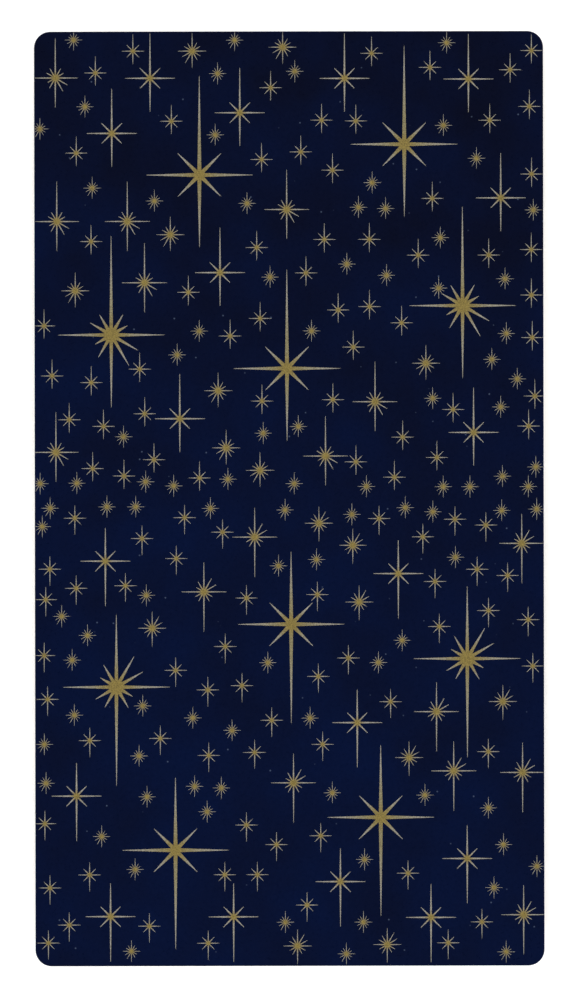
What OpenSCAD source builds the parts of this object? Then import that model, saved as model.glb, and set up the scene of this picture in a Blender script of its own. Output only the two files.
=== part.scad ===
// Tarot card deck: a squared, face-down stack of loose cards with rounded corners.
// The origin is at the middle of the stack's underside, +Z is up and +Y runs along the cards.

/* [Card] */
// Width of a card
card_w = 61; // [44:0.5:90]
// Length of a card
card_l = 112; // [75:0.5:150]
// Radius of a card's corners
corner_r = 1.95; // [1:0.05:6]
// Thickness of a card's stock
card_t = 0.34; // [0.25:0.01:0.5]

/* [Stack] */
// Air between two cards in the stack
air_gap = 0.03; // [0.02:0.005:0.1]
// Furthest that a stray card lies off the squared stack
stray = 0.3; // [0:0.02:0.6]

/* [Hidden] */
// Colour of the printed backs
back_navy = "#0C122C";
// Segments of a drawn corner circle
$fn = 64;

// The trumps, first card first
MAJORS = [
    "the_fool", "the_magician", "the_high_priestess", "the_empress", "the_emperor", "the_hierophant",
    "the_lovers", "the_chariot", "strength", "the_hermit", "wheel_of_fortune", "justice",
    "the_hanged_man", "death", "temperance", "the_devil", "the_tower", "the_star",
    "the_moon", "the_sun", "judgement", "the_world"
];
SUITS = ["wands", "cups", "swords", "pentacles"];
// The packets of a suit: the pip cards lie two by two, the court cards by themselves
RANKS = [
    ["ace", "two"], ["three", "four"], ["five", "six"], ["seven", "eight"], ["nine", "ten"],
    ["page"], ["knight"], ["queen"], ["king"]
];

// A packet's name: its words joined by underscores
function joined(words, i = 0) = i == len(words) - 1 ? words[i] : str(words[i], "_", joined(words, i + 1));
// Every packet's name and the cards that it holds, from the bottom of the stack to its top
PACKETS = concat(
    [for (major = MAJORS) [major, [major]]],
    [for (suit = SUITS, ranks = RANKS) [joined(concat(suit, ranks)), ranks]]
);
NODES = [for (packet = PACKETS) packet[0]];

// Rise from one card to the next
pitch = card_t + air_gap;
// How many cards lie under packet k
function cards_below(k) = k == 0 ? 0 : cards_below(k - 1) + len(PACKETS[k - 1][1]);
deck_n = cards_below(len(PACKETS));

// Where each card strays to: most lie close to the squared stack, a few stand out, the top card lies true.
// The draws are seeded by the axis' letter, so every build strays alike.
spread_x = rands(-1, 1, deck_n, ord("x"));
spread_y = rands(-1, 1, deck_n, ord("y"));
function looseness(i) = sqrt(1 - i / (deck_n - 1));
function card_x(i) = stray * looseness(i) * pow(spread_x[i], 3);
function card_y(i) = stray * looseness(i) * pow(spread_y[i], 3);
function card_z(i) = i * pitch;
// Centre of card i's lower left corner, about which it swivels when the deck is fanned
function fan_pivot(i) = [
    card_x(i) - card_w / 2 + corner_r,
    card_y(i) - card_l / 2 + corner_r,
    card_z(i)
];

// Outline of a card: a rectangle with true round corners
module card_outline() {
    square([card_w - 2 * corner_r, card_l], center = true);
    square([card_w, card_l - 2 * corner_r], center = true);
    for (x = [-1, 1], y = [-1, 1])
        translate([x * (card_w / 2 - corner_r), y * (card_l / 2 - corner_r)])
            circle(r = corner_r);
}

// One card in its place in the stack, counted from the bottom
module card(i) {
    color(back_navy)
        translate([card_x(i), card_y(i), card_z(i)])
            linear_extrude(height = card_t)
                card_outline();
}

// The cards of packet k, each a solid of its own
module packet(k) {
    for (i = [0 : len(PACKETS[k][1]) - 1])
        card(cards_below(k) + i);
}

for (k = [0 : len(NODES) - 1])
    packet(k);
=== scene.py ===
"""Looks of a squared, face-down tarot deck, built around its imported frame.

Every card gets a die-cut blank with a softened rim, a navy back strewn with gold stars, and a plain
face with a double frame and the signs of its suit. The cards lie where the frame's nodes lie and ride on
their bodies. Shapes are drawn in millimetres and set in place in metres.
"""

from __future__ import annotations

import logging
import math
import random
from collections.abc import Iterator, Mapping
from dataclasses import dataclass
from enum import Enum, IntEnum
from typing import ClassVar

import bmesh
import bpy
from mathutils import Matrix, Vector

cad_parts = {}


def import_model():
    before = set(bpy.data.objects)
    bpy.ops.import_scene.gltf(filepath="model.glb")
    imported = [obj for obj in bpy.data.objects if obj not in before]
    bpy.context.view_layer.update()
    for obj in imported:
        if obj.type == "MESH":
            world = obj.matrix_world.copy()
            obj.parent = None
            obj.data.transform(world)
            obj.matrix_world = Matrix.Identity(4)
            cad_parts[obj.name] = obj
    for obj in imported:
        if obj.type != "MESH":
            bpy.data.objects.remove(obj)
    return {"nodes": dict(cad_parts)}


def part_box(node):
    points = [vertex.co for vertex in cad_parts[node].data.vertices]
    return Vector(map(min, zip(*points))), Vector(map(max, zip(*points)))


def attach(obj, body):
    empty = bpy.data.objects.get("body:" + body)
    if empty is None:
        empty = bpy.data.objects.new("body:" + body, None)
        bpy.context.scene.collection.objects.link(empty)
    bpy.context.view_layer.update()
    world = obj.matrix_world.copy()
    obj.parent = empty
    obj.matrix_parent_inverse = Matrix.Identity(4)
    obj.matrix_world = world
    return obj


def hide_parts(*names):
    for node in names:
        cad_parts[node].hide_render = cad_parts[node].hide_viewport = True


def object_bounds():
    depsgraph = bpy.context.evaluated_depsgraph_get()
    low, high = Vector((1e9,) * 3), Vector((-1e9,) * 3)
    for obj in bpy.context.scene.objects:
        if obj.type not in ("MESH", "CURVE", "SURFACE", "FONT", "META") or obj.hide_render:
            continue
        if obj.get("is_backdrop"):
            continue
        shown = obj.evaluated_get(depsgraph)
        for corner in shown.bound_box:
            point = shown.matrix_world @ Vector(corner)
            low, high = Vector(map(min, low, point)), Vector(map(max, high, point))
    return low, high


LOG = logging.getLogger("tarot_deck")
MM = 0.001
TOP_CARD = "pentacles_king"
# What the meshes tell the finishes: a card's paper tone, and how far out and how wide a star's ray is.
TONE = "stock_tone"
REACH = "ray_reach"
WIDTH = "ray_width"
# Nearly all of a noise texture's values lie between these.
NOISE_SPAN = (0.3, 0.7)


def linear(hex_colour: str) -> tuple[float, float, float, float]:
    """Turns an sRGB hex colour into Blender's linear one.

    Args:
        hex_colour: Colour as "#RRGGBB".

    Returns:
        Linear red, green and blue, with an alpha of 1.
    """
    shares = [int(hex_colour[i:i + 2], 16) / 255 for i in (1, 3, 5)]
    # The sRGB curve has a straight foot, and follows a power above it.
    red, green, blue = (s / 12.92 if s <= 0.04045 else ((s + 0.055) / 1.055) ** 2.4 for s in shares)
    return red, green, blue, 1.0


def per_metre(size_mm: float) -> float:
    """Gives the texture scale at which one unit of a pattern spans a size in millimetres."""
    return 1 / (size_mm * MM)


def add_node(
    tree: bpy.types.NodeTree,
    kind: str,
    settings: Mapping[str, object] | None = None,
    inputs: Mapping[str | int, object] | None = None,
) -> bpy.types.Node:
    """Adds a shader node with its settings, input values and links.

    Args:
        tree: Node tree that gets the node.
        kind: Blender's type name of the node.
        settings: The node's own properties and their values.
        inputs: Input sockets, by name or number, each with a value or the output that links to it.

    Returns:
        The new node.
    """
    node = tree.nodes.new(kind)
    for name, value in (settings or {}).items():
        setattr(node, name, value)
    for socket, value in (inputs or {}).items():
        if isinstance(value, bpy.types.NodeSocket):
            tree.links.new(value, node.inputs[socket])
        else:
            node.inputs[socket].default_value = value
    return node


def seen_directly(tree: bpy.types.NodeTree) -> bpy.types.NodeSocket:
    """Adds nodes that give 1 on rays from the camera and in reflections or glass, and else 0.

    Args:
        tree: Node tree of the sweep's material or of the world.

    Returns:
        The output that holds the 1 or 0.
    """
    path = add_node(tree, "ShaderNodeLightPath").outputs
    mirrored = add_node(tree, "ShaderNodeMath", {"operation": "MAXIMUM"}, {
        0: path["Is Glossy Ray"], 1: path["Is Transmission Ray"]})
    seen = add_node(tree, "ShaderNodeMath", {"operation": "MAXIMUM"}, {
        0: path["Is Camera Ray"], 1: mirrored.outputs[0]})
    return seen.outputs[0]


def rounded_sheet(width: float, length: float, corner: float, steps: int) -> bmesh.types.BMesh:
    """Builds a level rectangle with round corners.

    Args:
        width: Width of the rectangle.
        length: Length of the rectangle.
        corner: Radius of its corners.
        steps: Edges along a corner.

    Returns:
        A mesh of one face, in millimetres, over the origin.
    """
    sheet = bmesh.new()
    bmesh.ops.create_grid(sheet, x_segments=1, y_segments=1, size=0.5)
    bmesh.ops.scale(sheet, vec=(width, length, 1.0), verts=list(sheet.verts))
    bmesh.ops.bevel(
        sheet, geom=list(sheet.verts), offset=corner, offset_type="OFFSET", segments=steps, profile=0.5,
        affect="VERTICES", material=-1)
    return sheet


def add_copy(target: bmesh.types.BMesh, source: bpy.types.Mesh) -> list[bmesh.types.BMVert]:
    """Adds a copy of a mesh to a bmesh.

    Args:
        target: Mesh that grows.
        source: Mesh that is copied.

    Returns:
        The copy's vertices.
    """
    before = len(target.verts)
    target.from_mesh(source)
    target.verts.ensure_lookup_table()
    return target.verts[before:]


def add_mesh(target: bmesh.types.BMesh, source: bmesh.types.BMesh) -> list[bmesh.types.BMVert]:
    """Adds a bmesh to another, and frees it.

    Args:
        target: Mesh that grows.
        source: Mesh that is added.

    Returns:
        The added vertices.
    """
    carrier = bpy.data.meshes.new("carrier")
    source.to_mesh(carrier)
    source.free()
    added = add_copy(target, carrier)
    bpy.data.meshes.remove(carrier)
    return added


class Mix(IntEnum):
    """Sockets of a Mix node for colours, by number, because several of its sockets share a name."""

    FACTOR = 0
    A = 6
    B = 7
    RESULT = 2


class Layer(IntEnum):
    """Material slots of a printed card, in their order on the mesh."""

    NAVY = 0
    GOLD = 1
    EDGE = 2
    STOCK = 3


@dataclass(frozen=True)
class Finish:
    """A material that knows how to build its own shader.

    Attributes:
        name: Name of the material.
    """

    name: str

    def shade(self, tree: bpy.types.NodeTree) -> bpy.types.Node:
        """Builds the finish's nodes.

        Args:
            tree: Empty node tree of the new material.

        Returns:
            The shader node that the material's output shows.
        """
        raise NotImplementedError

    def make(self) -> bpy.types.Material:
        """Makes the material.

        Returns:
            The new material, with its nodes linked.
        """
        material = bpy.data.materials.new(self.name)
        material.use_nodes = True
        material.node_tree.nodes.clear()
        shader = self.shade(material.node_tree)
        add_node(material.node_tree, "ShaderNodeOutputMaterial", inputs={"Surface": shader.outputs[0]})
        return material


@dataclass(frozen=True)
class VarnishedNavyInk(Finish):
    """Offset-printed navy under a satin water-based varnish.

    The eye sees a blue that is nearly black, a little bluer towards the lower left, with faint clouds, a
    fine mottle, a soft sheen at low angles, a faint orange peel in the varnish and a few pale specks where
    dust kept the ink off the paper.

    Attributes:
        deep: Colour of the darkest ink.
        blue: Colour of the bluest ink.
        speck: Colour of the dust specks.
        fade_way: Direction in which the ink turns bluer.
        fade_mm: Places along that direction between which it turns bluer.
        fade: How much of the bluest colour shows at those two places.
        cloud_mm: Size of the clouds.
        cloud: Most that a cloud adds to the thin ink's share, or takes from it.
        grain_mm: Size of the mottle's grain.
        mottle: Most that the mottle adds to the ink's brightness, or takes from it.
        ink_detail: How many finer layers the clouds and the grain have.
        speck_cell_mm: Side of the space that holds one speck, in the plane of the ink or off it.
        speck_mm: Radius of a speck.
        speck_strength: How much of a speck's colour shows at its middle.
        peel_mm: Size of the varnish's dimples.
        peel_depth_mm: Depth of the dimples.
        peel_strength: How strongly the dimples show.
        peel_detail: How many finer layers the dimples have.
        roughness: Least and greatest roughness of the varnish.
        ior: Refractive index of the varnish.
        sheen_level: Strength of the varnish's reflection.
    """

    name: str = "offset_navy_ink_under_satin_varnish"
    deep: str = "#070B20"
    blue: str = "#021137"
    speck: str = "#6E7F9C"
    fade_way: tuple[float, float, float] = (-0.4, -0.92, 0.0)
    fade_mm: tuple[float, float] = (-58.0, 15.0)
    fade: tuple[float, float] = (0.24, 0.68)
    cloud_mm: float = 9.0
    cloud: float = 0.25
    grain_mm: float = 0.35
    mottle: float = 0.08
    ink_detail: float = 3.0
    speck_cell_mm: float = 2.5
    speck_mm: float = 0.13
    speck_strength: float = 0.5
    peel_mm: float = 0.7
    peel_depth_mm: float = 0.02
    peel_strength: float = 0.12
    peel_detail: float = 1.0
    roughness: tuple[float, float] = (0.24, 0.34)
    ior: float = 1.47
    sheen_level: float = 0.2

    def shade(self, tree: bpy.types.NodeTree) -> bpy.types.Node:
        """Builds the fading, clouded ink, its specks and the varnish's orange peel.

        Args:
            tree: Empty node tree of the new material.

        Returns:
            The shader node that the material's output shows.
        """
        place = add_node(tree, "ShaderNodeTexCoord").outputs["Object"]
        way = add_node(tree, "ShaderNodeVectorMath", {"operation": "DOT_PRODUCT"}, {
            0: place, 1: self.fade_way})
        fade = add_node(tree, "ShaderNodeMapRange", inputs={
            "Value": way.outputs["Value"],
            "From Min": self.fade_mm[0] * MM, "From Max": self.fade_mm[1] * MM,
            "To Min": self.fade[0], "To Max": self.fade[1]})
        clouds = add_node(tree, "ShaderNodeTexNoise", inputs={
            "Vector": place, "Scale": per_metre(self.cloud_mm), "Detail": self.ink_detail})
        cloud = add_node(tree, "ShaderNodeMapRange", inputs={
            "Value": clouds.outputs["Fac"], "From Min": NOISE_SPAN[0], "From Max": NOISE_SPAN[1],
            "To Min": -self.cloud, "To Max": self.cloud})
        blueness = add_node(tree, "ShaderNodeMath", {"operation": "ADD"}, {
            0: fade.outputs[0], 1: cloud.outputs[0]})
        ink = add_node(tree, "ShaderNodeMix", {"data_type": "RGBA"}, {
            Mix.FACTOR: blueness.outputs[0], Mix.A: linear(self.deep), Mix.B: linear(self.blue)})
        grain = add_node(tree, "ShaderNodeTexNoise", inputs={
            "Vector": place, "Scale": per_metre(self.grain_mm), "Detail": self.ink_detail})
        mottle = add_node(tree, "ShaderNodeMapRange", inputs={
            "Value": grain.outputs["Fac"], "From Min": NOISE_SPAN[0], "From Max": NOISE_SPAN[1],
            "To Min": 1 - self.mottle, "To Max": 1 + self.mottle})
        mottled = add_node(tree, "ShaderNodeVectorMath", {"operation": "SCALE"}, {
            0: ink.outputs[Mix.RESULT], "Scale": mottle.outputs[0]})
        cells = add_node(tree, "ShaderNodeTexVoronoi", inputs={
            "Vector": place, "Scale": per_metre(self.speck_cell_mm)})
        dust = add_node(tree, "ShaderNodeMapRange", inputs={
            "Value": cells.outputs["Distance"], "From Max": self.speck_mm / self.speck_cell_mm,
            "To Min": self.speck_strength, "To Max": 0.0})
        specked = add_node(tree, "ShaderNodeMix", {"data_type": "RGBA"}, {
            Mix.FACTOR: dust.outputs[0], Mix.A: mottled.outputs[0], Mix.B: linear(self.speck)})
        rough = add_node(tree, "ShaderNodeMapRange", inputs={
            "Value": grain.outputs["Fac"], "To Min": self.roughness[0], "To Max": self.roughness[1]})
        peel = add_node(tree, "ShaderNodeTexNoise", inputs={
            "Vector": place, "Scale": per_metre(self.peel_mm), "Detail": self.peel_detail})
        bump = add_node(tree, "ShaderNodeBump", inputs={
            "Height": peel.outputs["Fac"], "Strength": self.peel_strength,
            "Distance": self.peel_depth_mm * MM})
        return add_node(tree, "ShaderNodeBsdfPrincipled", inputs={
            "Base Color": specked.outputs[Mix.RESULT], "Roughness": rough.outputs[0], "IOR": self.ior,
            "Specular IOR Level": self.sheen_level, "Normal": bump.outputs["Normal"]})


@dataclass(frozen=True)
class BronzeGoldInk(Finish):
    """Gold printing ink made of fine bronze flakes in varnish.

    The eye sees a dull khaki gold from above, paler along a star's rays and nearly silver where they are
    slender, with a fine mottling of flakes. The flakes are drawn coarser than they are, so that they show.

    Attributes:
        full: Colour of the ink at a star's core.
        thin: Colour of the ink farther out along a ray.
        slender: Colour of a ray where it is slender.
        dark: Colour of the shadows between the flakes.
        core_reach: How far out the core's colour holds, in lengths of the star's core.
        ray_reach: How far out the ray's colour is reached, in the same lengths.
        broad_mm: Width from which a ray counts as broad.
        slender_mm: Width down to which it turns slender.
        flake_mm: Size of the flakes, as drawn.
        flake_detail: How many finer layers the flakes have.
        most_dark: How much of the dark colour shows in the deepest shadows.
        metallic: How metallic the ink is.
        roughness: Least and greatest roughness of the flakes.
    """

    name: str = "bronze_flake_gold_ink"
    full: str = "#A8934E"
    thin: str = "#A99F77"
    slender: str = "#BAB6A9"
    dark: str = "#453C26"
    core_reach: float = 0.8
    ray_reach: float = 3.2
    broad_mm: float = 0.36
    slender_mm: float = 0.16
    flake_mm: float = 0.16
    flake_detail: float = 2.0
    most_dark: float = 0.54
    metallic: float = 0.2
    roughness: tuple[float, float] = (0.38, 0.52)

    def shade(self, tree: bpy.types.NodeTree) -> bpy.types.Node:
        """Builds the ink's tones along and across the rays, and its mottled flakes.

        Args:
            tree: Empty node tree of the new material.

        Returns:
            The shader node that the material's output shows.
        """
        place = add_node(tree, "ShaderNodeTexCoord").outputs["Object"]
        width = add_node(tree, "ShaderNodeAttribute", {"attribute_name": WIDTH})
        slenderness = add_node(tree, "ShaderNodeMapRange", inputs={
            "Value": width.outputs["Fac"], "From Min": self.broad_mm, "From Max": self.slender_mm})
        ray = add_node(tree, "ShaderNodeMix", {"data_type": "RGBA"}, {
            Mix.FACTOR: slenderness.outputs[0], Mix.A: linear(self.thin), Mix.B: linear(self.slender)})
        reach = add_node(tree, "ShaderNodeAttribute", {"attribute_name": REACH})
        thinness = add_node(tree, "ShaderNodeMapRange", inputs={
            "Value": reach.outputs["Fac"], "From Min": self.core_reach, "From Max": self.ray_reach})
        tone = add_node(tree, "ShaderNodeMix", {"data_type": "RGBA"}, {
            Mix.FACTOR: thinness.outputs[0], Mix.A: linear(self.full), Mix.B: ray.outputs[Mix.RESULT]})
        flakes = add_node(tree, "ShaderNodeTexNoise", inputs={
            "Vector": place, "Scale": per_metre(self.flake_mm), "Detail": self.flake_detail})
        shadow = add_node(tree, "ShaderNodeMapRange", inputs={
            "Value": flakes.outputs["Fac"], "From Min": NOISE_SPAN[0], "From Max": NOISE_SPAN[1],
            "To Max": self.most_dark})
        ink = add_node(tree, "ShaderNodeMix", {"data_type": "RGBA"}, {
            Mix.FACTOR: shadow.outputs[0], Mix.A: tone.outputs[Mix.RESULT], Mix.B: linear(self.dark)})
        rough = add_node(tree, "ShaderNodeMapRange", inputs={
            "Value": flakes.outputs["Fac"], "To Min": self.roughness[0], "To Max": self.roughness[1]})
        return add_node(tree, "ShaderNodeBsdfPrincipled", inputs={
            "Base Color": ink.outputs[Mix.RESULT], "Metallic": self.metallic,
            "Roughness": rough.outputs[0]})


@dataclass(frozen=True)
class DieCutPaperEdge(Finish):
    """Bare edge of pressed paper board, as the cutting die leaves it.

    The eye sees matt off-white with fibres that run along the edge, and cards that are whiter or greyer
    than their neighbours. The fibres are drawn coarser than they are, so that they show.

    Attributes:
        clean: Colour of clean board.
        fibre: Colour of its fibres.
        soiled: Colour of an edge that was handled much.
        fibre_mm: Length of the fibres, as drawn.
        ply_mm: Thickness of the fibres, as drawn.
        fibre_detail: How many finer layers the fibres have.
        fibre_span: Values of the noise between which clean board turns to fibre.
        furrow_mm: Depth of the furrows between the fibres.
        furrow_strength: How strongly the furrows show.
        roughness: Roughness of the bare paper.
        sheen_level: Strength of its reflection.
    """

    name: str = "die_cut_paper_board_edge"
    clean: str = "#F7F3EB"
    fibre: str = "#E7E0D3"
    soiled: str = "#CBC1B0"
    fibre_mm: float = 3.0
    ply_mm: float = 0.09
    fibre_detail: float = 4.0
    fibre_span: tuple[float, float] = (0.35, 0.7)
    furrow_mm: float = 0.03
    furrow_strength: float = 0.4
    roughness: float = 0.9
    sheen_level: float = 0.2

    def shade(self, tree: bpy.types.NodeTree) -> bpy.types.Node:
        """Builds the fibres and the card's own tone.

        Args:
            tree: Empty node tree of the new material.

        Returns:
            The shader node that the material's output shows.
        """
        place = add_node(tree, "ShaderNodeTexCoord").outputs["Object"]
        along = add_node(tree, "ShaderNodeMapping", inputs={
            "Vector": place, "Scale": (1.0, 1.0, self.fibre_mm / self.ply_mm)})
        fibres = add_node(tree, "ShaderNodeTexNoise", inputs={
            "Vector": along.outputs[0], "Scale": per_metre(self.fibre_mm), "Detail": self.fibre_detail})
        spread = add_node(tree, "ShaderNodeMapRange", inputs={
            "Value": fibres.outputs["Fac"],
            "From Min": self.fibre_span[0], "From Max": self.fibre_span[1]})
        board = add_node(tree, "ShaderNodeMix", {"data_type": "RGBA"}, {
            Mix.FACTOR: spread.outputs[0], Mix.A: linear(self.clean), Mix.B: linear(self.fibre)})
        tone = add_node(tree, "ShaderNodeAttribute", {"attribute_name": TONE})
        handled = add_node(tree, "ShaderNodeMix", {"data_type": "RGBA"}, {
            Mix.FACTOR: tone.outputs["Fac"], Mix.A: board.outputs[Mix.RESULT], Mix.B: linear(self.soiled)})
        bump = add_node(tree, "ShaderNodeBump", inputs={
            "Height": fibres.outputs["Fac"], "Strength": self.furrow_strength,
            "Distance": self.furrow_mm * MM})
        return add_node(tree, "ShaderNodeBsdfPrincipled", inputs={
            "Base Color": handled.outputs[Mix.RESULT], "Roughness": self.roughness,
            "Specular IOR Level": self.sheen_level, "Normal": bump.outputs["Normal"]})


@dataclass(frozen=True)
class CoatedFaceStock(Finish):
    """Cream coated paper of the card's face.

    The eye sees warm white with a faint cloudiness and a soft satin.

    Attributes:
        light: Colour of the lightest clouds.
        warm: Colour of the warmest clouds.
        cloud_mm: Size of the clouds.
        cloud_detail: How many finer layers the clouds have.
        roughness: Least and greatest roughness of the coating.
    """

    name: str = "cream_coated_paper"
    light: str = "#F4EEDF"
    warm: str = "#E9DFC9"
    cloud_mm: float = 9.0
    cloud_detail: float = 4.0
    roughness: tuple[float, float] = (0.42, 0.55)

    def shade(self, tree: bpy.types.NodeTree) -> bpy.types.Node:
        """Builds the cloudy cream.

        Args:
            tree: Empty node tree of the new material.

        Returns:
            The shader node that the material's output shows.
        """
        place = add_node(tree, "ShaderNodeTexCoord").outputs["Object"]
        cloud = add_node(tree, "ShaderNodeTexNoise", inputs={
            "Vector": place, "Scale": per_metre(self.cloud_mm), "Detail": self.cloud_detail})
        paper = add_node(tree, "ShaderNodeMix", {"data_type": "RGBA"}, {
            Mix.FACTOR: cloud.outputs["Fac"], Mix.A: linear(self.light), Mix.B: linear(self.warm)})
        rough = add_node(tree, "ShaderNodeMapRange", inputs={
            "Value": cloud.outputs["Fac"], "To Min": self.roughness[0], "To Max": self.roughness[1]})
        return add_node(tree, "ShaderNodeBsdfPrincipled", inputs={
            "Base Color": paper.outputs[Mix.RESULT], "Roughness": rough.outputs[0]})


@dataclass(frozen=True, kw_only=True)
class WhiteSweep(Finish):
    """Matt white sweep that the deck lies on.

    It reads as white to the camera and in reflections, more so away from the deck, and takes its shadow,
    which is darkest where the deck meets it: partly real shade, and partly painted shadow, as the glow is
    dimmed there.

    Attributes:
        white: Colour of the sweep.
        deck_width_m: Width of the deck that lies on it, in metres.
        deck_length_m: Length of the deck, in metres.
        contact_m: Distance from the deck over which the painted contact shadow fades, in metres.
        far_m: Distance from the deck at which the sweep is at its whitest, in metres.
        contact_glow: Glow where the deck meets the sweep, kept low there to paint a contact shadow.
        near_glow: Glow where the painted contact shadow ends.
        far_glow: Glow where the sweep is at its whitest.
    """

    deck_width_m: float
    deck_length_m: float
    name: str = "matt_white_sweep"
    white: str = "#F4F4F4"
    contact_m: float = 0.003
    far_m: float = 0.4
    contact_glow: float = 0.06
    near_glow: float = 0.38
    far_glow: float = 0.9

    def shade(self, tree: bpy.types.NodeTree) -> bpy.types.Node:
        """Builds matt white with a glow that only the camera and reflections see, dimmed near the deck as
        painted contact shadow.

        Args:
            tree: Empty node tree of the new material.

        Returns:
            The shader node that the material's output shows.
        """
        place = add_node(tree, "ShaderNodeTexCoord").outputs["Object"]
        either_side = add_node(tree, "ShaderNodeVectorMath", {"operation": "ABSOLUTE"}, {0: place})
        beyond = add_node(tree, "ShaderNodeVectorMath", {"operation": "SUBTRACT"}, {
            0: either_side.outputs[0], 1: (self.deck_width_m / 2, self.deck_length_m / 2, 0.0)})
        outside = add_node(tree, "ShaderNodeVectorMath", {"operation": "MAXIMUM"}, {
            0: beyond.outputs[0], 1: (0.0, 0.0, 0.0)})
        distance = add_node(tree, "ShaderNodeVectorMath", {"operation": "LENGTH"}, {0: outside.outputs[0]})
        # Painted contact shadow: the glow falls to contact_glow where the deck meets the sweep.
        painted_contact_shadow = add_node(tree, "ShaderNodeMapRange", {"interpolation_type": "SMOOTHSTEP"}, {
            "Value": distance.outputs["Value"], "From Max": self.contact_m,
            "To Min": self.contact_glow, "To Max": self.near_glow})
        farther = add_node(tree, "ShaderNodeMapRange", inputs={
            "Value": distance.outputs["Value"], "From Min": self.contact_m, "From Max": self.far_m,
            "To Max": self.far_glow - self.near_glow})
        glow = add_node(tree, "ShaderNodeMath", {"operation": "ADD"}, {
            0: painted_contact_shadow.outputs[0], 1: farther.outputs[0]})
        shown = add_node(tree, "ShaderNodeMath", {"operation": "MULTIPLY"}, {
            0: glow.outputs[0], 1: seen_directly(tree)})
        matt = add_node(tree, "ShaderNodeBsdfDiffuse", inputs={"Color": linear(self.white)})
        light = add_node(tree, "ShaderNodeEmission", inputs={"Strength": shown.outputs[0]})
        return add_node(tree, "ShaderNodeAddShader", inputs={0: matt.outputs[0], 1: light.outputs[0]})


@dataclass(frozen=True)
class Motif:
    """A shape of ink that rises a little from its outline to its middle."""

    def draw(self, sheet: bmesh.types.BMesh, relief: float) -> list[bmesh.types.BMVert]:
        """Draws the motif over the origin, in millimetres.

        Args:
            sheet: Mesh of the print.
            relief: Height of the motif's middle over its outline.

        Returns:
            The motif's vertices.
        """
        raise NotImplementedError


@dataclass(frozen=True)
class Star(Motif):
    """A star with rays of different lengths.

    Attributes:
        rays: Lengths of the rays, from the one that points up counter-clockwise.
        core: How far from the middle the notches between the rays lie.
        tip: Width of a ray's blunt end.
    """

    # Corners of a ray: both sides of its end, and the notch to the next ray
    RAY_CORNERS: ClassVar[int] = 3
    rays: tuple[float, ...]
    core: float
    tip: float

    def draw(self, sheet: bmesh.types.BMesh, relief: float) -> list[bmesh.types.BMVert]:
        """Draws the star as a fan over the origin, and notes each ray's reach and width.

        Args:
            sheet: Mesh of the print.
            relief: Height of the star's middle over its outline.

        Returns:
            The star's vertices.
        """
        reach, width = sheet.verts.layers.float[REACH], sheet.verts.layers.float[WIDTH]
        step = math.tau / len(self.rays)
        corners = self.RAY_CORNERS * len(self.rays)
        made = bmesh.ops.create_circle(
            sheet, cap_ends=True, cap_tris=True, segments=corners, radius=1.0)["verts"]
        middle = min(made, key=lambda vert: vert.co.length)
        rim = sorted(
            (vert for vert in made if vert is not middle),
            key=lambda vert: round(math.atan2(-vert.co.x, vert.co.y) * corners / math.tau) % corners)
        for ray, length in enumerate(self.rays):
            right, left, notch = rim[self.RAY_CORNERS * ray:][:self.RAY_CORNERS]
            turn = Matrix.Rotation(ray * step, 3, "Z")
            right.co = turn @ Vector((self.tip / 2, length, 0.0))
            left.co = turn @ Vector((-self.tip / 2, length, 0.0))
            notch.co = Matrix.Rotation((ray + 0.5) * step, 3, "Z") @ Vector((0.0, self.core, 0.0))
            right[reach] = left[reach] = length / self.core
            right[width] = left[width] = self.tip
            notch[reach] = 1.0
            notch[width] = middle[width] = 2 * self.core * math.sin(step / 2)
        middle.co.z = relief
        return made


@dataclass(frozen=True)
class Figure(Motif):
    """An upright sign that is alike left and right.

    Attributes:
        outline: Height and half width of each corner, from the foot up.
    """

    outline: tuple[tuple[float, float], ...]

    def draw(self, sheet: bmesh.types.BMesh, relief: float) -> list[bmesh.types.BMVert]:
        """Draws the sign over the origin, as two strips whose faces rise to the middle line.

        Args:
            sheet: Mesh of the print.
            relief: Height of the sign's middle line over its outline.

        Returns:
            The sign's vertices.
        """
        rows = len(self.outline)
        made = bmesh.ops.create_grid(sheet, x_segments=2, y_segments=rows - 1, size=1.0)["verts"]
        for vert in made:
            row = round((vert.co.y + 1) / 2 * (rows - 1))
            height, half_width = self.outline[row]
            raised = round(vert.co.x) == 0 and 0 < row < rows - 1
            vert.co = (vert.co.x * half_width, height, relief if raised else 0.0)
        strips = list(dict.fromkeys(face for vert in made for face in vert.link_faces))
        middles = bmesh.ops.poke(sheet, faces=strips, center_mode="MEAN")["verts"]
        return [*made, *middles]


@dataclass(frozen=True)
class Line(Motif):
    """A frame line with round corners.

    Attributes:
        width: Width of the frame, outside.
        length: Length of the frame, outside.
        corner: Radius of its corners.
        weight: Width of the line.
        corner_steps: Faces along a corner.
    """

    width: float
    length: float
    corner: float
    weight: float
    corner_steps: int = 6

    def draw(self, sheet: bmesh.types.BMesh, relief: float) -> list[bmesh.types.BMVert]:
        """Draws the line round the origin, as two strips along its middle, closed underneath.

        Args:
            sheet: Mesh of the print.
            relief: Height of the line's middle over its sides.

        Returns:
            The line's vertices.
        """
        line = rounded_sheet(self.width, self.length, self.corner, self.corner_steps)
        inside = list(line.faces)
        half = self.weight / 2
        bmesh.ops.inset_region(line, faces=inside, thickness=half, use_even_offset=True, use_boundary=True)
        ridge = list(inside[0].verts)
        bmesh.ops.inset_region(line, faces=inside, thickness=half, use_even_offset=True, use_boundary=True)
        bmesh.ops.delete(line, geom=inside, context="FACES_ONLY")
        for vert in ridge:
            vert.co.z = relief
        bmesh.ops.bridge_loops(line, edges=[edge for edge in line.edges if edge.is_boundary])
        return add_mesh(sheet, line)


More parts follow.
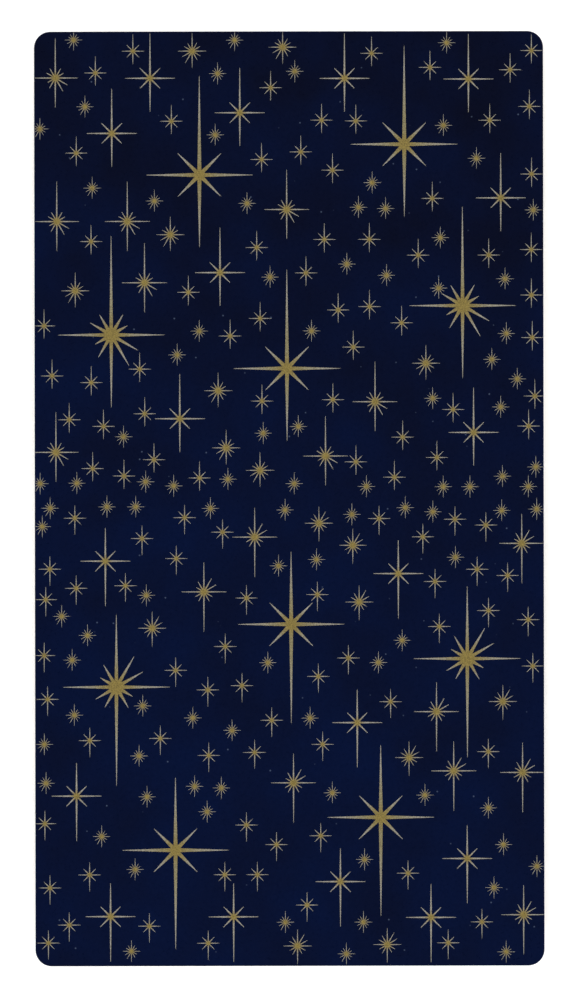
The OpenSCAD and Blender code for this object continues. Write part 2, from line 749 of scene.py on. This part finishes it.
class BackStar(Enum):
    """Kinds of star on the backs, by their rays' lengths, notches and ray ends in millimetres."""

    GREAT_EIGHT = Star((11.9, 3.7, 6.4, 3.65, 8.7, 3.65, 6.4, 3.7), 0.62, 0.05)
    GREAT_TWELVE = Star((11.9, 2.8, 2.9, 6.4, 2.25, 3.1, 8.7, 4.25, 3.7, 6.4, 2.25, 2.85), 0.82, 0.05)
    MEDIUM_EIGHT = Star((5.4, 1.75, 3.0, 1.7, 4.0, 1.7, 3.0, 1.75), 0.29, 0.06)
    MEDIUM_TWELVE = Star((4.8, 1.3, 1.2, 2.7, 1.05, 1.4, 3.55, 1.85, 1.7, 2.7, 1.15, 1.3), 0.34, 0.05)
    SPARK = Star((2.2, 1.1, 1.1, 1.7, 1.4, 1.65, 2.0, 1.25, 1.15, 1.7, 1.1, 1.2), 0.31, 0.03)
    SMALL = Star((2.0, 1.05, 1.35, 1.05, 1.55, 1.05, 1.35, 1.05), 0.19, 0.035)
    TINY = Star((1.35, 0.8, 0.75, 1.05, 0.9, 1.1, 1.3, 0.85, 0.75, 1.05, 0.75, 0.8), 0.21, 0.03)


class Stance(Enum):
    """How a motif stands on the card, as signs of its width and its height."""

    UPRIGHT = (1, 1)
    FLIPPED = (1, -1)
    TURNED = (-1, -1)


# Where the stars of the back's two halves lie, across and along the card from the middle of the print, read
# from the photograph. The lower half is close to the upper one after a half turn.
UPPER_STARS: Mapping[BackStar, tuple[tuple[float, float], ...]] = {
    BackStar.GREAT_EIGHT: ((-10.65, 38.55), (13.9, 42.2), (-0.2, 15.35)),
    BackStar.GREAT_TWELVE: ((-21.25, 19.4), (20.85, 22.85)),
    BackStar.MEDIUM_EIGHT: (
        (-16.55, 50.15), (-21.15, 43.55), (-5.8, 46.0), (6.75, 50.1), (21.6, 50.0),
        (25.45, 35.75), (-8.2, 26.85), (-13.05, 9.35), (22.15, 7.65)),
    BackStar.MEDIUM_TWELVE: (
        (-27.9, 50.2), (-27.75, 33.0), (-19.3, 33.0), (-0.2, 34.4),
        (-17.25, 25.65), (-27.9, 5.35), (10.35, 11.35), (4.4, 4.85)),
    BackStar.SPARK: (
        (-11.5, 53.4), (-0.65, 53.85), (-14.15, 31.4), (-25.55, 24.7),
        (16.45, 15.95), (-8.45, 12.7), (-7.5, 5.85), (-3.45, 3.15)),
    BackStar.SMALL: (
        (-18.6, 53.4), (29.15, 53.4), (10.0, 53.1), (17.0, 51.4), (26.6, 51.1), (-23.1, 50.8),
        (-2.1, 49.0), (28.9, 46.7), (4.0, 45.1), (8.1, 45.0), (24.15, 45.05), (-14.0, 45.0),
        (1.5, 41.3), (-25.4, 41.2), (-3.2, 40.4), (5.3, 39.1), (29.15, 38.6), (17.25, 35.7),
        (4.3, 30.8), (9.7, 30.8), (-23.65, 30.6), (-3.8, 29.85), (29.1, 29.55), (15.55, 28.9),
        (24.0, 28.9), (2.1, 26.8), (-12.0, 24.5), (29.1, 24.1), (9.7, 22.75), (5.95, 22.35),
        (-3.4, 21.35), (13.55, 20.8), (-29.3, 20.5), (-7.0, 19.25), (29.2, 19.0), (7.75, 17.9),
        (-17.85, 15.3), (-28.35, 14.5), (-23.65, 13.7), (29.5, 12.0), (5.3, 11.6), (-3.2, 11.45),
        (19.7, 10.4), (-17.25, 9.95), (-26.3, 9.25), (-22.2, 8.45), (28.75, 8.4), (13.65, 7.1),
        (17.75, 4.65), (-16.15, 4.45), (8.05, 4.15), (-23.5, 3.4), (-19.75, 2.5), (12.65, 2.3),
        (-10.7, 2.25)),
    BackStar.TINY: (
        (-25.7, 54.75), (-6.4, 54.7), (19.0, 54.35), (0.8, 50.95), (-8.45, 50.7), (-24.35, 46.75),
        (18.6, 44.45), (-29.75, 44.1), (-8.75, 43.35), (22.55, 40.5), (10.05, 37.6), (-23.5, 37.0),
        (-16.05, 35.45), (-4.95, 35.15), (8.4, 34.65), (11.65, 34.5), (29.35, 34.3), (18.2, 31.0),
        (7.0, 27.85), (11.75, 26.5), (-2.2, 26.3), (25.95, 26.05), (18.0, 24.95), (-10.7, 19.85),
        (2.75, 19.85), (26.1, 19.5), (-13.35, 17.0), (24.35, 16.4), (27.4, 14.05), (17.25, 11.75),
        (25.4, 10.7), (1.15, 8.4), (-3.05, 7.6), (-19.8, 7.2), (29.6, 3.5), (25.6, 2.4),
        (-7.3, 2.1), (-17.15, 1.8), (-25.4, 1.65), (-29.8, 1.6), (0.65, 1.55), (-13.8, 1.3),
        (9.3, 1.2), (18.5, 1.15), (21.7, 1.15), (28.7, 1.15)),
}
LOWER_STARS: Mapping[BackStar, tuple[tuple[float, float], ...]] = {
    BackStar.GREAT_EIGHT: ((0.25, -15.3), (10.95, -38.45), (-13.65, -42.35)),
    BackStar.GREAT_TWELVE: ((21.35, -19.45), (-20.7, -22.8)),
    BackStar.MEDIUM_EIGHT: (
        (-22.0, -7.7), (13.1, -9.25), (8.15, -27.1), (-25.5, -35.85), (21.3, -43.4),
        (6.1, -46.15), (-21.45, -50.3), (-6.7, -50.35), (16.95, -50.45)),
    BackStar.MEDIUM_TWELVE: (
        (-4.1, -4.85), (27.9, -5.65), (-10.2, -11.4), (17.65, -25.8),
        (19.7, -32.9), (27.95, -33.1), (0.5, -34.3), (28.05, -50.15)),
    BackStar.SPARK: (
        (3.6, -3.2), (7.65, -5.85), (8.4, -12.65), (-16.4, -15.75),
        (25.6, -24.6), (14.35, -31.3), (11.7, -53.7), (0.95, -53.85)),
    BackStar.SMALL: (
        (-12.5, -2.5), (-25.65, -2.55), (10.8, -2.65), (19.9, -2.75), (23.6, -3.45), (-7.95, -4.25),
        (16.05, -4.85), (-17.6, -5.0), (-13.5, -7.4), (-28.65, -8.65), (22.55, -8.75), (26.2, -9.5),
        (17.5, -10.2), (-19.6, -10.65), (-25.5, -10.95), (3.4, -11.75), (-5.1, -12.15), (-29.15, -12.3),
        (23.9, -13.7), (28.65, -14.8), (18.0, -15.6), (-7.65, -17.95), (-29.35, -19.0), (7.1, -19.35),
        (29.2, -20.35), (-13.6, -20.8), (3.5, -21.55), (-5.65, -22.65), (-9.75, -23.15), (-28.95, -24.25),
        (12.15, -24.6), (-2.1, -26.8), (-15.45, -28.95), (-23.9, -29.2), (4.0, -29.7), (23.85, -30.6),
        (-4.15, -30.65), (-9.65, -31.0), (-29.3, -39.15), (-5.15, -39.35), (3.75, -40.65), (-1.55, -41.7),
        (14.2, -45.15), (-23.95, -45.3), (-7.75, -45.3), (-3.85, -45.3), (-28.7, -46.85), (2.1, -48.95),
        (23.05, -51.0), (-26.4, -51.3), (-16.8, -51.45), (-28.9, -53.45), (-9.75, -53.5), (19.0, -53.5)),
    BackStar.TINY: (
        (-21.8, -1.2), (-18.35, -1.2), (-28.6, -1.35), (13.95, -1.35), (-9.4, -1.4), (29.7, -1.55),
        (-0.45, -1.6), (25.5, -1.7), (17.25, -1.85), (7.55, -2.15), (-29.55, -3.55), (19.95, -7.3),
        (3.3, -7.55), (-1.25, -8.3), (-17.1, -11.8), (-27.25, -14.3), (-24.15, -16.6), (13.55, -17.25),
        (-26.0, -19.55), (-2.55, -19.9), (10.7, -19.9), (-17.55, -25.05), (-25.75, -26.15), (-11.55, -26.5),
        (2.5, -26.55), (-6.85, -28.0), (-29.35, -29.65), (-18.0, -31.05), (-29.15, -34.3), (-11.35, -34.7),
        (-8.15, -34.9), (5.15, -35.5), (16.25, -35.8), (-17.05, -35.95), (23.85, -37.35), (-9.85, -37.75),
        (-22.5, -40.7), (25.65, -41.75), (9.0, -43.5), (29.65, -44.35), (-18.5, -44.65), (24.5, -46.9),
        (-0.5, -51.0), (8.85, -51.0), (-18.95, -54.45), (25.95, -54.6), (6.8, -54.8)),
}
LOWER_STANCES: Mapping[BackStar, Stance] = {
    BackStar.GREAT_EIGHT: Stance.FLIPPED,
    BackStar.GREAT_TWELVE: Stance.FLIPPED,
    BackStar.MEDIUM_EIGHT: Stance.FLIPPED,
    BackStar.MEDIUM_TWELVE: Stance.FLIPPED,
    BackStar.SPARK: Stance.TURNED,
    BackStar.SMALL: Stance.FLIPPED,
    BackStar.TINY: Stance.UPRIGHT,
}


class Suit(Enum):
    """The four suits, each with its sign."""

    WANDS = Figure((
        (-4.3, 0.3), (-4.1, 0.5), (-2.3, 0.45), (-1.9, 0.7), (-1.5, 0.45), (0.7, 0.4),
        (1.1, 0.65), (1.5, 0.4), (3.5, 0.4), (3.9, 0.75), (4.3, 0.3)))
    CUPS = Figure((
        (-3.6, 1.6), (-3.3, 1.6), (-2.8, 0.6), (-1.3, 0.35), (-1.0, 0.8), (-0.2, 1.6),
        (1.0, 2.1), (3.4, 2.2)))
    SWORDS = Figure((
        (-4.4, 0.3), (-4.1, 0.5), (-3.8, 0.25), (-2.5, 0.25), (-2.4, 1.7), (-2.0, 1.7),
        (-1.9, 0.5), (3.3, 0.4), (4.4, 0.05)))
    PENTACLES = Star((2.6, 2.6, 2.6, 2.6, 2.6), 1.05, 0.1)


class Court(Enum):
    """Court cards, by the number of small stars over their sign."""

    PAGE = 1
    KNIGHT = 2
    QUEEN = 3
    KING = 4


class Pip(Enum):
    """Pip cards, by the number of their signs."""

    ACE = 1
    TWO = 2
    THREE = 3
    FOUR = 4
    FIVE = 5
    SIX = 6
    SEVEN = 7
    EIGHT = 8
    NINE = 9
    TEN = 10


@dataclass(frozen=True)
class Printed:
    """A motif in its place on a card.

    Attributes:
        motif: What is printed.
        x: Place across the card.
        y: Place along the card.
        scale: Scale of the motif.
        stance: Whether it stands upright, is flipped or is turned.
        layer: Ink that it is printed in.
    """

    motif: Motif
    x: float = 0.0
    y: float = 0.0
    scale: float = 1.0
    stance: Stance = Stance.UPRIGHT
    layer: Layer = Layer.GOLD

    def draw(self, sheet: bmesh.types.BMesh, relief: float) -> None:
        """Draws the motif where it belongs.

        Args:
            sheet: Mesh of the print.
            relief: Height of the motif's middle over its outline.
        """
        verts = self.motif.draw(sheet, relief)
        across, along = self.stance.value
        bmesh.ops.scale(sheet, vec=(self.scale * across, self.scale * along, 1.0), verts=verts)
        bmesh.ops.translate(sheet, vec=(self.x, self.y, 0.0), verts=verts)
        for face in {face for vert in verts for face in vert.link_faces}:
            face.material_index = self.layer


@dataclass(frozen=True)
class Print:
    """The ink on one side of a card.

    Attributes:
        width: Width of the printed area.
        length: Length of the printed area.
        motifs: What is printed.
        lift: Height of the ink's outline over the card.
        relief: Height of a motif's middle over its outline.
        level: Height over the outline up to which a face counts as level.
    """

    width: float
    length: float
    motifs: tuple[Printed, ...]
    lift: float = 0.002
    relief: float = 0.006
    level: float = 0.00075

    def build(self) -> bmesh.types.BMesh:
        """Builds the print, cut off at the card's rim and closed underneath.

        Returns:
            The print in millimetres, looking up, over the middle of the card.
        """
        sheet = bmesh.new()
        for name in (REACH, WIDTH):
            sheet.verts.layers.float.new(name)
        for printed in self.motifs:
            printed.draw(sheet, self.relief)
        for way in (Vector((1, 0, 0)), Vector((-1, 0, 0)), Vector((0, 1, 0)), Vector((0, -1, 0))):
            reach = self.width / 2 if way.x else self.length / 2
            bmesh.ops.bisect_plane(
                sheet, geom=[*sheet.verts, *sheet.edges, *sheet.faces], plane_co=way * reach, plane_no=way,
                clear_outer=True)
        self.close(sheet)
        bmesh.ops.translate(sheet, vec=(0.0, 0.0, self.lift), verts=list(sheet.verts))
        return sheet

    def close(self, sheet: bmesh.types.BMesh) -> None:
        """Closes every motif underneath and turns all faces outwards.

        Args:
            sheet: The print, with its outlines at height zero.
        """
        outline = [edge for edge in sheet.edges if edge.is_boundary]
        inks = {edge.verts[0]: edge.link_faces[0].material_index for edge in outline}
        under = set(bmesh.ops.holes_fill(sheet, edges=outline, sides=0)["faces"])
        for face in under:
            face.material_index = next(inks[vert] for vert in face.verts if vert in inks)
        under.update(face for face in sheet.faces if all(vert.co.z < self.level for vert in face.verts))
        sheet.normal_update()
        wrong = [face for face in sheet.faces if (face.normal.z > 0) == (face in under)]
        bmesh.ops.reverse_faces(sheet, faces=wrong)


@dataclass(frozen=True)
class Blank:
    """Bare card as the die leaves it, in millimetres.

    Attributes:
        width: Width of the card.
        length: Length of the card.
        thickness: Thickness of the stock.
        corner: Radius of the corners.
        rim: Radius of the rim that the die presses round.
        corner_steps: Faces along a corner.
        rim_steps: Faces across the rim.
        flat_normal: Upright share of a face's normal over which the face counts as flat.
    """

    width: float
    length: float
    thickness: float
    corner: float = 1.95
    rim: float = 0.05
    corner_steps: int = 10
    rim_steps: int = 2
    flat_normal: float = 0.999

    @classmethod
    def of_box(cls, low: Vector, high: Vector) -> Blank:
        """Takes the blank's size from a card of the frame.

        Args:
            low: Lowest corner of the card, in metres.
            high: Highest corner of the card, in metres.

        Returns:
            The blank.
        """
        return cls(*((high - low) / MM))

    def build(self) -> bmesh.types.BMesh:
        """Builds the blank with its underside at height zero.

        Returns:
            The blank in millimetres, with the slots of its back, edge and face set.
        """
        card = rounded_sheet(self.width, self.length, self.corner, self.corner_steps)
        top = bmesh.ops.extrude_face_region(card, geom=list(card.faces))["geom"]
        raised = [part for part in top if isinstance(part, bmesh.types.BMVert)]
        bmesh.ops.translate(card, vec=(0.0, 0.0, self.thickness), verts=raised)
        bmesh.ops.recalc_face_normals(card, faces=list(card.faces))
        rims = [edge for edge in card.edges if abs(edge.verts[0].co.z - edge.verts[1].co.z) < self.rim]
        bmesh.ops.bevel(
            card, geom=rims, offset=self.rim, offset_type="OFFSET", segments=self.rim_steps, profile=0.5,
            affect="EDGES", material=-1)
        card.normal_update()
        for face in card.faces:
            flat = abs(face.normal.z) > self.flat_normal
            face.smooth = not flat
            if face.calc_center_median().z > self.thickness - self.rim:
                face.material_index = Layer.NAVY
            else:
                face.material_index = Layer.STOCK if flat else Layer.EDGE
        return card

    def print_area(self) -> tuple[float, float]:
        """Gives the width and length of the card inside its rim."""
        return self.width - 2 * self.rim, self.length - 2 * self.rim


@dataclass(frozen=True)
class BackDesign:
    """Gold stars strewn over the back, which looks much alike either way up.

    Attributes:
        blank: The card that it is printed on.
        register: Where the middle of the print lies from the middle of the card, in millimetres.
    """

    blank: Blank
    register: tuple[float, float] = (-0.05, 0.25)

    def build(self) -> bmesh.types.BMesh:
        """Builds the stars of both halves.

        Returns:
            The back's print in millimetres, looking up, over the middle of the card.
        """
        stars = []
        for kind in BackStar:
            stars += self.sown(kind, UPPER_STARS[kind], Stance.UPRIGHT)
            stars += self.sown(kind, LOWER_STARS[kind], LOWER_STANCES[kind])
        return Print(*self.blank.print_area(), tuple(stars)).build()

    def sown(
        self, kind: BackStar, places: tuple[tuple[float, float], ...], stance: Stance,
    ) -> list[Printed]:
        """Places the stars of one kind on one half of the card.

        Args:
            kind: Kind of star.
            places: Where they lie from the middle of the print.
            stance: How they stand.

        Returns:
            The stars.
        """
        across, along = self.register
        return [Printed(kind.value, across + x, along + y, stance=stance) for x, y in places]


@dataclass(frozen=True)
class FaceDesign:
    """A plain face: a double frame round the signs of the card's suit and rank, in millimetres.

    Attributes:
        blank: The card that it is printed on.
        margin: Distance from the card's edge to the outer line.
        weight: Width of a line.
        gap: Distance between the two lines.
        row: Distance between two rows of signs.
        column: Distance of a column of signs from the middle.
        pip: Scale of a pip card's signs.
        one_column: Most signs that a pip card has in one column.
        ring: Radius of the ring of small stars that numbers a trump.
        sun: Scale of a trump's great star.
        large: Scale of a court card's sign.
        crown: Height of a court card's small stars over the middle.
        crown_step: Distance between two of those.
    """

    blank: Blank
    margin: float = 3.6
    weight: float = 0.45
    gap: float = 0.7
    row: float = 17.0
    column: float = 13.0
    pip: float = 1.6
    one_column: int = 3
    ring: float = 21.0
    sun: float = 1.4
    large: float = 4.0
    crown: float = 26.0
    crown_step: float = 6.0

    def build(self, signs: list[Printed]) -> bmesh.types.BMesh:
        """Builds the face, turned to look down.

        Args:
            signs: The card's own signs.

        Returns:
            The face's print in millimetres, under the middle of the card.
        """
        inner = self.margin + self.weight + self.gap
        lines = [self.line(self.margin, Layer.NAVY), self.line(inner, Layer.GOLD)]
        face = Print(*self.blank.print_area(), (*lines, *signs)).build()
        over = Matrix.Rotation(math.pi, 3, "Y")
        bmesh.ops.rotate(face, cent=(0.0, 0.0, 0.0), matrix=over, verts=list(face.verts))
        return face

    def line(self, inset: float, layer: Layer) -> Printed:
        """Places one line of the frame.

        Args:
            inset: Distance of the line from the card's edge.
            layer: Ink of the line.

        Returns:
            The line.
        """
        width, length = self.blank.width - 2 * inset, self.blank.length - 2 * inset
        return Printed(Line(width, length, self.blank.corner, self.weight), layer=layer)

    def of_node(self, node: str, number: int) -> Iterator[bmesh.types.BMesh]:
        """Builds the faces of a node's cards, which the node's name and number tell.

        Args:
            node: Name of the node: a trump, or a suit and its ranks.
            number: How many nodes lie under it, which is a trump's number.

        Yields:
            Each card's face, from the lowest card up.
        """
        suit, *ranks = node.upper().split("_")
        if suit not in Suit.__members__:
            yield self.build(self.trump(number))
            return
        sign = Suit[suit].value
        for rank in ranks:
            court = rank in Court.__members__
            yield self.build(self.court(sign, Court[rank]) if court else self.pips(sign, Pip[rank]))

    def trump(self, number: int) -> list[Printed]:
        """Places a trump's great star, and as many small ones round it as its number says.

        Args:
            number: Number of the trump.

        Returns:
            The stars.
        """
        stars = [Printed(BackStar.GREAT_EIGHT.value, scale=self.sun)]
        for index in range(number):
            turn = math.tau * index / number
            x, y = self.ring * math.sin(turn), self.ring * math.cos(turn)
            stars.append(Printed(BackStar.SPARK.value, x, y, layer=Layer.NAVY))
        return stars

    def court(self, sign: Motif, court: Court) -> list[Printed]:
        """Places a court card's large sign and the small stars over it.

        Args:
            sign: Sign of the suit.
            court: Rank of the card.

        Returns:
            The sign and the stars.
        """
        start = -self.crown_step * (court.value - 1) / 2
        stars = [
            Printed(BackStar.SPARK.value, start + self.crown_step * index, self.crown, layer=Layer.NAVY)
            for index in range(court.value)]
        return [Printed(sign, scale=self.large), *stars]

    def pips(self, sign: Motif, rank: Pip) -> list[Printed]:
        """Places a pip card's signs in one column or two, with an odd one in the middle.

        Args:
            sign: Sign of the suit.
            rank: Rank of the card.

        Returns:
            The signs.
        """
        paired = rank.value > self.one_column
        rows = rank.value // 2 if paired else rank.value
        columns = (-self.column, self.column) if paired else (0.0,)
        places = [(x, self.row * (index - (rows - 1) / 2)) for x in columns for index in range(rows)]
        if paired and rank.value % 2:
            places.append((0.0, 0.0))
        return [Printed(sign, x, y, self.pip) for x, y in places]


@dataclass
class Deck:
    """All the cards, each printed, in the packets that the frame moves.

    Attributes:
        nodes: The frame's nodes.
        blank: The bare card.
        finishes: Materials in the order of Layer.
        tone_seed: Seed of the cards' own paper tones.
        most_soiled: Strongest paper tone.
        clean_bias: Power of the draw for a tone, by which clean cards outnumber soiled ones.
        slack: Room for rounding when the cards of a node are told apart, in millimetres.
    """

    nodes: Mapping[str, bpy.types.Object]
    blank: Blank
    finishes: tuple[Finish, ...]
    tone_seed: int = 78
    most_soiled: float = 0.4
    clean_bias: int = 2
    slack: float = 0.005

    def build(self) -> None:
        """Builds every packet's piece and lets it ride on the packet's body."""
        materials = [finish.make() for finish in self.finishes]
        backed = self.backed_card()
        tones = random.Random(self.tone_seed)
        for number, node in enumerate(sorted(self.nodes, key=lambda name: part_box(name)[0].z)):
            faces = FaceDesign(self.blank).of_node(node, number)
            piece = self.packet(node, backed, faces, tones)
            for material in materials:
                piece.data.materials.append(material)
            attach(piece, node)
            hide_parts(node)
            LOG.info("%s: %d faces", piece.name, len(piece.data.polygons))
        bpy.data.meshes.remove(backed)

    def backed_card(self) -> bpy.types.Mesh:
        """Builds a card with its back printed and its face bare.

        Returns:
            The card in metres, with the middle of its underside at the origin.
        """
        card = self.blank.build()
        back = BackDesign(self.blank).build()
        bmesh.ops.translate(back, vec=(0.0, 0.0, self.blank.thickness), verts=list(back.verts))
        add_mesh(card, back)
        bmesh.ops.scale(card, vec=(MM, MM, MM), verts=list(card.verts))
        mesh = bpy.data.meshes.new("backed_card")
        card.to_mesh(mesh)
        card.free()
        return mesh

    def packet(
        self, node: str, backed: bpy.types.Mesh, faces: Iterator[bmesh.types.BMesh], tones: random.Random,
    ) -> bpy.types.Object:
        """Builds the cards of one packet as one piece.

        Args:
            node: Name of the packet's node.
            backed: A card with its back printed, over the origin.
            faces: The cards' faces, from the lowest card up.
            tones: Source of the cards' paper tones.

        Returns:
            The new piece, at the origin, with the cards' places in its mesh.
        """
        packet = bmesh.new()
        packet.verts.layers.float.new(TONE)
        for place, face in zip(self.card_places(self.nodes[node]), faces, strict=True):
            soil = self.most_soiled * tones.random() ** self.clean_bias
            bmesh.ops.scale(face, vec=(MM, MM, MM), verts=list(face.verts))
            verts = [*add_copy(packet, backed), *add_mesh(packet, face)]
            bmesh.ops.translate(packet, vec=place, verts=verts)
            tone = packet.verts.layers.float[TONE]
            for vert in verts:
                vert[tone] = soil
        mesh = bpy.data.meshes.new("printed_" + node)
        packet.to_mesh(mesh)
        packet.free()
        piece = bpy.data.objects.new(mesh.name, mesh)
        bpy.context.scene.collection.objects.link(piece)
        return piece

    def card_places(self, solid: bpy.types.Object) -> Iterator[Vector]:
        """Finds the cards of a node by the heights of its corners.

        Args:
            solid: The node's solid.

        Yields:
            The middle of each card's underside, from the lowest card up.
        """
        corners = sorted((vert.co for vert in solid.data.vertices), key=lambda corner: corner.z)
        while corners:
            top = corners[0].z + (self.blank.thickness + self.slack) * MM
            card = [corner for corner in corners if corner.z <= top]
            low, high = Vector(map(min, *card)), Vector(map(max, *card))
            yield Vector(((low.x + high.x) / 2, (low.y + high.y) / 2, low.z))
            corners = corners[len(card):]


@dataclass(frozen=True)
class Lamp:
    """A soft studio lamp that looks at the deck.

    Attributes:
        name: What it does.
        place: Where it hangs, in metres.
        power: Its power in watts.
        size: Side of its square panel, in metres.
    """

    name: str
    place: tuple[float, float, float]
    power: float
    size: float


@dataclass
class Studio:
    """White sweep, soft lamps and a camera straight above the deck.

    Attributes:
        blank: The card that the camera frames.
        top: Height of the deck, in metres.
        picture: Width and height of the photograph, in pixels.
        card_length: Length of the card in the photograph, in pixels.
        card_middle: Middle of the card in the photograph, in pixels.
        lean: How far the card leans to the left in the photograph, in degrees.
        lens: Focal length, in millimetres: long, because the photograph shows no side of the deck.
        sensor: Sensor's side along the photograph's longer side, in millimetres.
        floor_size: Side of the sweep, in metres.
        floor_gap: Gap between the sweep and the deck, in metres.
        lamps: The lamps.
        ambient: Strength of the even light from all sides.
        horizon: Heights, as sines, between which the backdrop goes from white to the ceiling's tone.
        ceiling: Strength of the ceiling in reflections.
    """

    blank: Blank
    top: float
    picture: tuple[int, int] = (579, 1000)
    card_length: float = 934.7
    card_middle: tuple[float, float] = (289.27, 498.65)
    lean: float = 0.1
    lens: float = 200.0
    sensor: float = 36.0
    floor_size: float = 60.0
    floor_gap: float = 0.00002
    lamps: tuple[Lamp, ...] = (
        Lamp("key", (-0.95, -0.7, 0.52), 8.0, 0.8),
        Lamp("fill", (1.1, -0.45, 0.5), 5.5, 0.9),
        Lamp("back", (0.15, 1.2, 0.5), 5.5, 0.9),
    )
    ambient: float = 0.63
    horizon: tuple[float, float] = (0.045, 0.12)
    ceiling: float = 0.03

    def build(self) -> None:
        """Builds the camera, the sweep, the lamps and the world."""
        self.place_camera()
        self.lay_floor()
        for lamp in self.lamps:
            self.hang(lamp)
        self.light_world()
        bpy.context.scene.view_settings.view_transform = "Standard"

    def place_camera(self) -> None:
        """Sets the camera over the card, at the photograph's scale, shift and lean."""
        pixel = self.blank.length * MM / self.card_length
        distance = self.lens / self.sensor * max(self.picture) * pixel
        data = bpy.data.cameras.new("camera")
        data.lens = self.lens
        data.sensor_width = self.sensor
        camera = bpy.data.objects.new("camera", data)
        camera.location = (
            (self.picture[0] / 2 - self.card_middle[0]) * pixel,
            (self.card_middle[1] - self.picture[1] / 2) * pixel,
            self.top + distance,
        )
        camera.rotation_euler = (0.0, 0.0, -math.radians(self.lean))
        bpy.context.scene.collection.objects.link(camera)
        bpy.context.scene.camera = camera

    def lay_floor(self) -> None:
        """Lays the white sweep just under the deck."""
        sheet = bmesh.new()
        bmesh.ops.create_grid(sheet, x_segments=1, y_segments=1, size=self.floor_size / 2)
        bmesh.ops.translate(sheet, vec=(0.0, 0.0, -self.floor_gap), verts=list(sheet.verts))
        mesh = bpy.data.meshes.new("sweep")
        sheet.to_mesh(mesh)
        sheet.free()
        finish = WhiteSweep(deck_width_m=self.blank.width * MM, deck_length_m=self.blank.length * MM)
        mesh.materials.append(finish.make())
        floor = bpy.data.objects.new("sweep", mesh)
        bpy.context.scene.collection.objects.link(floor)
        floor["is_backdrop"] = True

    def hang(self, lamp: Lamp) -> None:
        """Hangs one lamp, points it at the deck and keeps it out of reflections.

        Args:
            lamp: The lamp to hang.
        """
        data = bpy.data.lights.new(lamp.name, "AREA")
        data.energy = lamp.power
        data.size = lamp.size
        light = bpy.data.objects.new(lamp.name, data)
        light.location = lamp.place
        light.rotation_euler = (-Vector(lamp.place)).to_track_quat("-Z", "Y").to_euler()
        light.visible_glossy = False
        bpy.context.scene.collection.objects.link(light)

    def light_world(self) -> None:
        """Lights the scene evenly, and shows a white horizon under a dark ceiling."""
        world = bpy.data.worlds.new("studio")
        world.use_nodes = True
        tree = world.node_tree
        tree.nodes.clear()
        white = linear("#FFFFFF")
        way = add_node(tree, "ShaderNodeTexCoord")
        height = add_node(tree, "ShaderNodeSeparateXYZ", inputs={0: way.outputs["Generated"]})
        shown = add_node(tree, "ShaderNodeMapRange", inputs={
            "Value": height.outputs["Z"], "From Min": self.horizon[0], "From Max": self.horizon[1],
            "To Min": 1.0, "To Max": self.ceiling})
        even = add_node(tree, "ShaderNodeBackground", inputs={"Color": white, "Strength": self.ambient})
        backdrop = add_node(tree, "ShaderNodeBackground", inputs={
            "Color": white, "Strength": shown.outputs[0]})
        mixed = add_node(tree, "ShaderNodeMixShader", inputs={
            0: seen_directly(tree), 1: even.outputs[0], 2: backdrop.outputs[0]})
        add_node(tree, "ShaderNodeOutputWorld", inputs={"Surface": mixed.outputs[0]})
        bpy.context.scene.world = world


def main() -> None:
    """Dresses the deck and sets up the studio."""
    logging.basicConfig(level=logging.INFO, format="%(name)s: %(message)s")
    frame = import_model()
    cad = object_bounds()
    blank = Blank.of_box(*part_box(TOP_CARD))
    Studio(blank, cad[1].z).build()
    finishes = (VarnishedNavyInk(), BronzeGoldInk(), DieCutPaperEdge(), CoatedFaceStock())
    Deck(frame["nodes"], blank, finishes).build()


if __name__ == "__main__":
    main()
